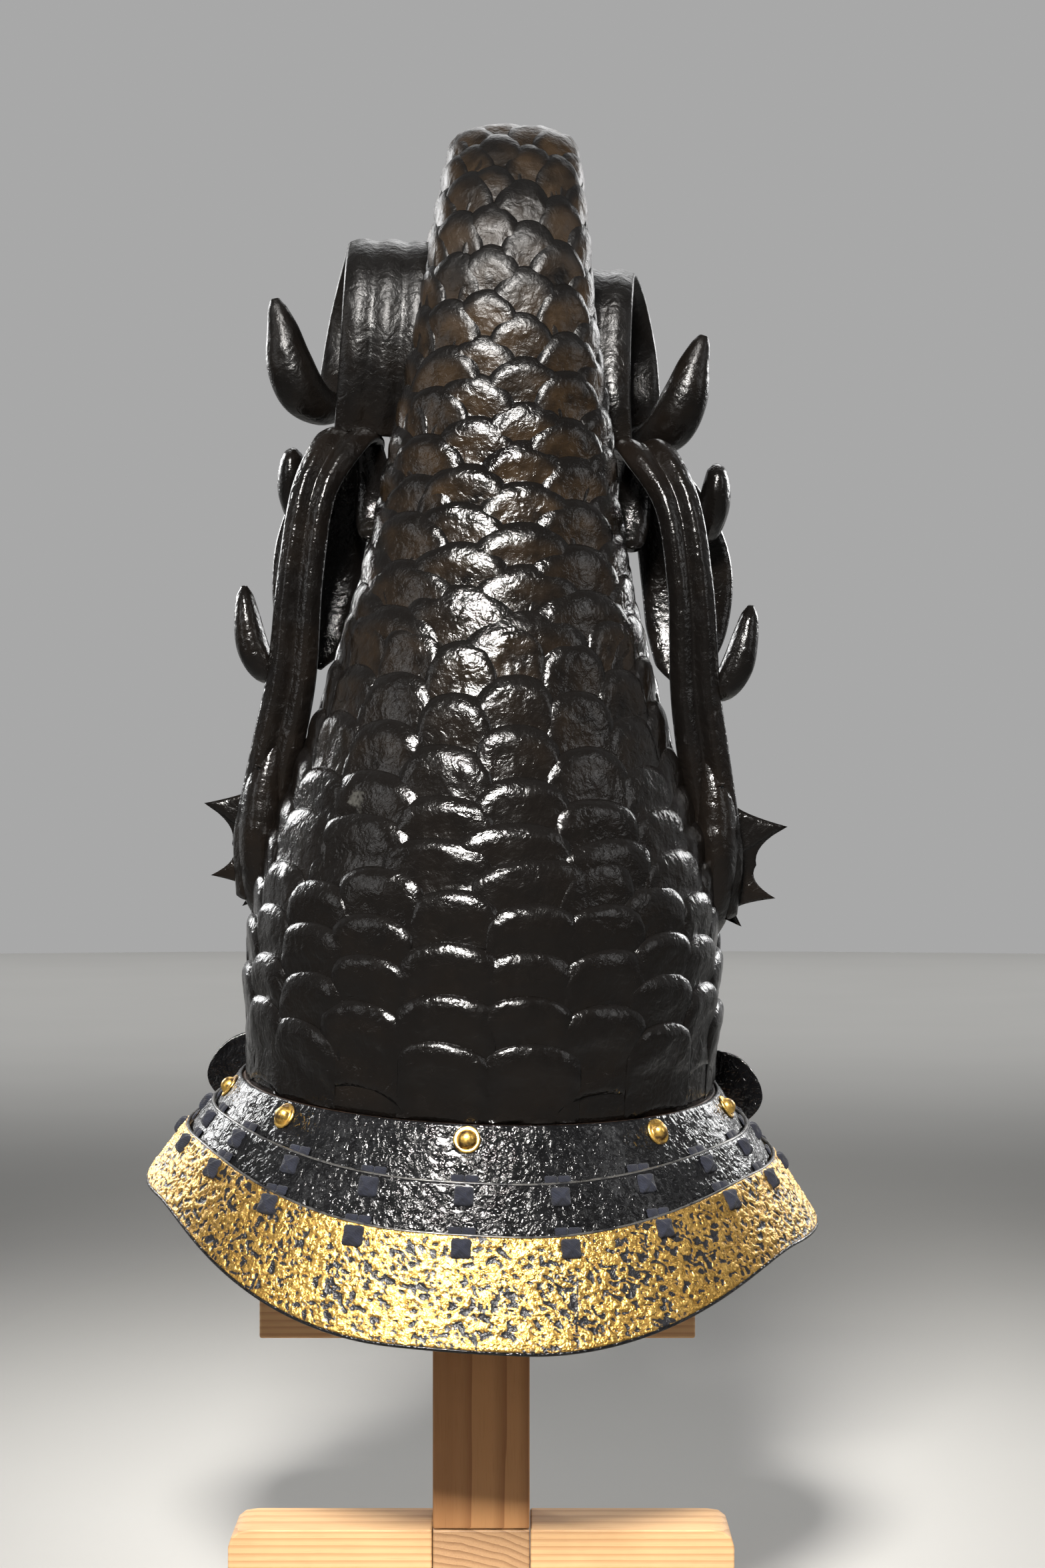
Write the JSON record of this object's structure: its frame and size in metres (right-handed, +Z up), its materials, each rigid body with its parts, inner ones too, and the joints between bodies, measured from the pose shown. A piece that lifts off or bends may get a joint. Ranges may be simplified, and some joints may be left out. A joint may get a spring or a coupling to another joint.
{
  "type": "samurai helmet on a wooden stand",
  "caption": "Kabuto shaped as a scaled sea dragon that rises and arches over, with fronds and fins at the sides and a laced, gold-edged neck guard, on a plain wooden stand.",
  "frame": {"origin": "on the floor, in the underside of the stand's base, under the middle of the post", "axes": "+Z up, +Y towards the helmet's front, +X to the right as seen from behind, which is the picture's view"},
  "size_m": [0.3132, 0.3251, 0.7055],
  "materials": {
    "black_lacquer": "black gloss lacquer over a built-up shell, brown where it thins",
    "wrinkled_lacquer": "wrinkled black gloss lacquer",
    "gold_leaf": "worn gold leaf over wrinkled black lacquer",
    "gilt_brass": "worn gilt, satin",
    "indigo_lace": "flat braided silk, matt",
    "russet_iron": "dark russet iron, matt",
    "pine": "plain planed pine"
  },
  "bodies": {
    "root": {"body": "black_lacquer", "lame_top": "wrinkled_lacquer", "lame_middle": "wrinkled_lacquer", "lame_gold": "gold_leaf", "bowl": "russet_iron", "visor": "wrinkled_lacquer", "frond_left": "black_lacquer", "frond_right": "black_lacquer", "fin_left": "black_lacquer", "fin_right": "black_lacquer", "scroll_left": "black_lacquer", "scroll_right": "black_lacquer", "base_cross_left": "pine", "base_cross_right": "pine", "base_long": "pine", "post": "pine", "shoulder_bar": "pine", "head_pad": "pine", "rivet_1": "gilt_brass", "rivet_2": "gilt_brass", "rivet_3": "gilt_brass", "rivet_4": "gilt_brass", "rivet_5": "gilt_brass", "lace_upper_1": "indigo_lace", "lace_upper_2": "indigo_lace", "lace_upper_3": "indigo_lace", "lace_upper_4": "indigo_lace", "lace_upper_5": "indigo_lace", "lace_upper_6": "indigo_lace", "lace_upper_7": "indigo_lace", "lace_upper_8": "indigo_lace", "lace_upper_9": "indigo_lace", "lace_upper_10": "indigo_lace", "lace_upper_11": "indigo_lace", "lace_upper_12": "indigo_lace", "lace_upper_13": "indigo_lace", "lace_lower_1": "indigo_lace", "lace_lower_2": "indigo_lace", "lace_lower_3": "indigo_lace", "lace_lower_4": "indigo_lace", "lace_lower_5": "indigo_lace", "lace_lower_6": "indigo_lace", "lace_lower_7": "indigo_lace", "lace_lower_8": "indigo_lace", "lace_lower_9": "indigo_lace", "lace_lower_10": "indigo_lace", "lace_lower_11": "indigo_lace", "lace_lower_12": "indigo_lace", "lace_lower_13": "indigo_lace"}
  },
  "joints": []
}
